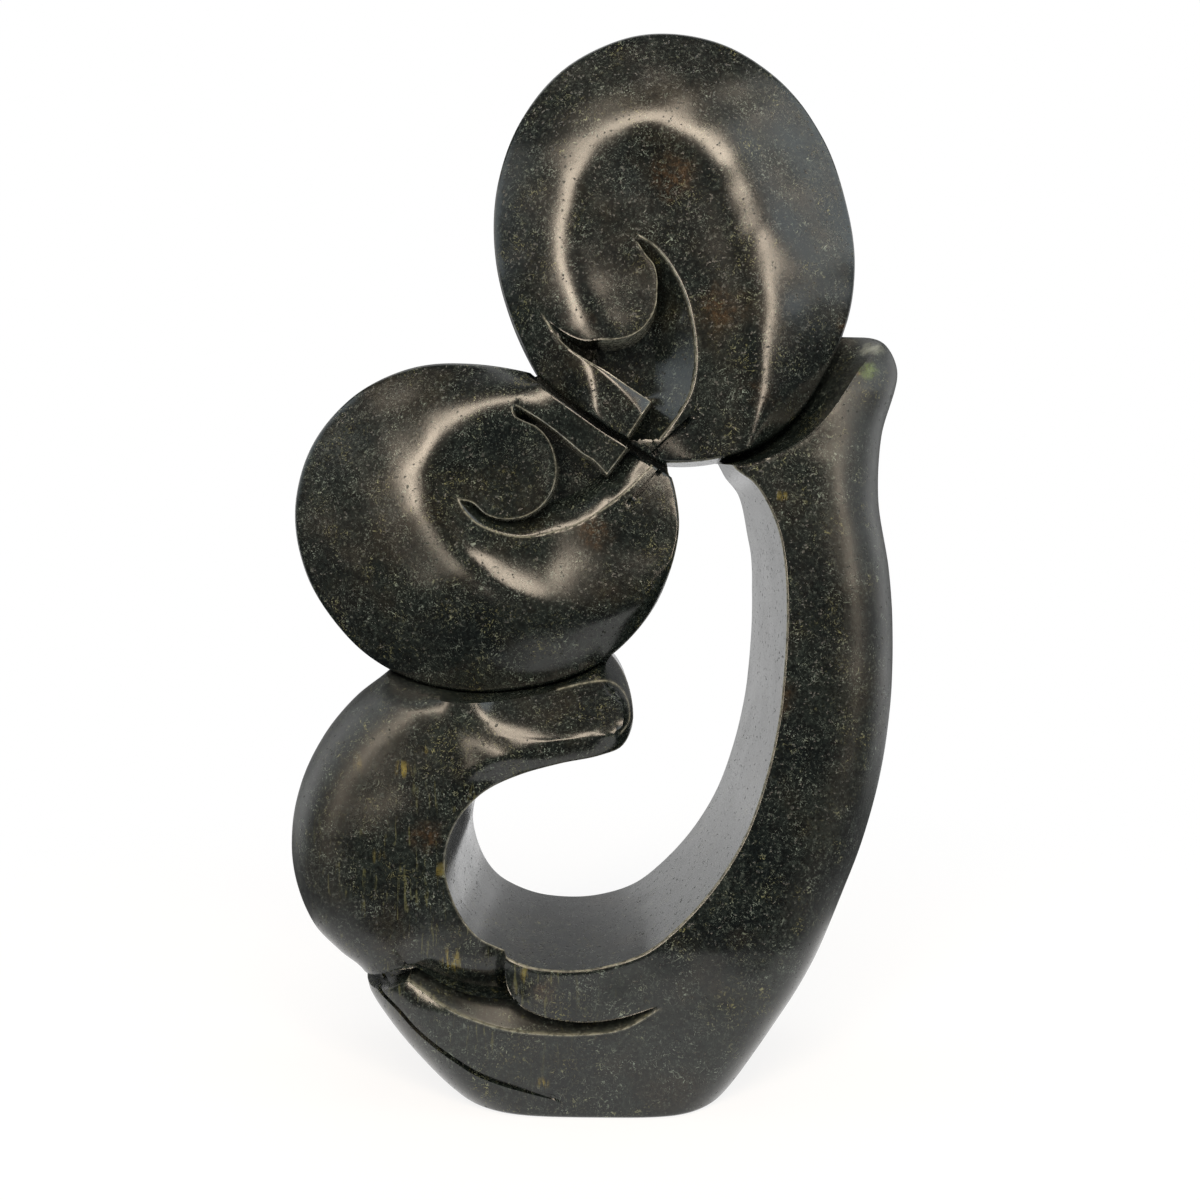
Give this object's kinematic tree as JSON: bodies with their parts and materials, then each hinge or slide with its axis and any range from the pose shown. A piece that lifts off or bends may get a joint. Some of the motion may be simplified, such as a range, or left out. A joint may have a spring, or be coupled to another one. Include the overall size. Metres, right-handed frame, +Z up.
{
  "type": "stone couple sculpture",
  "caption": "Polished dark stone carving of an embracing couple: flat egg-shaped heads in profile, nose to nose, above a U-shaped body with a large opening and a flat underside.",
  "frame": {"origin": "in the flat underside, near its middle, at the height of what the carving stands on", "axes": "+Z up, +X to the viewer's right and -Y towards the viewer of the carved front"},
  "size_m": [0.235, 0.09, 0.4017],
  "materials": {
    "serpentine": "polished dark green-black serpentine with fine pale flecks and rust-brown patches"
  },
  "bodies": {
    "root": {"stone_couple": "serpentine"}
  },
  "joints": []
}
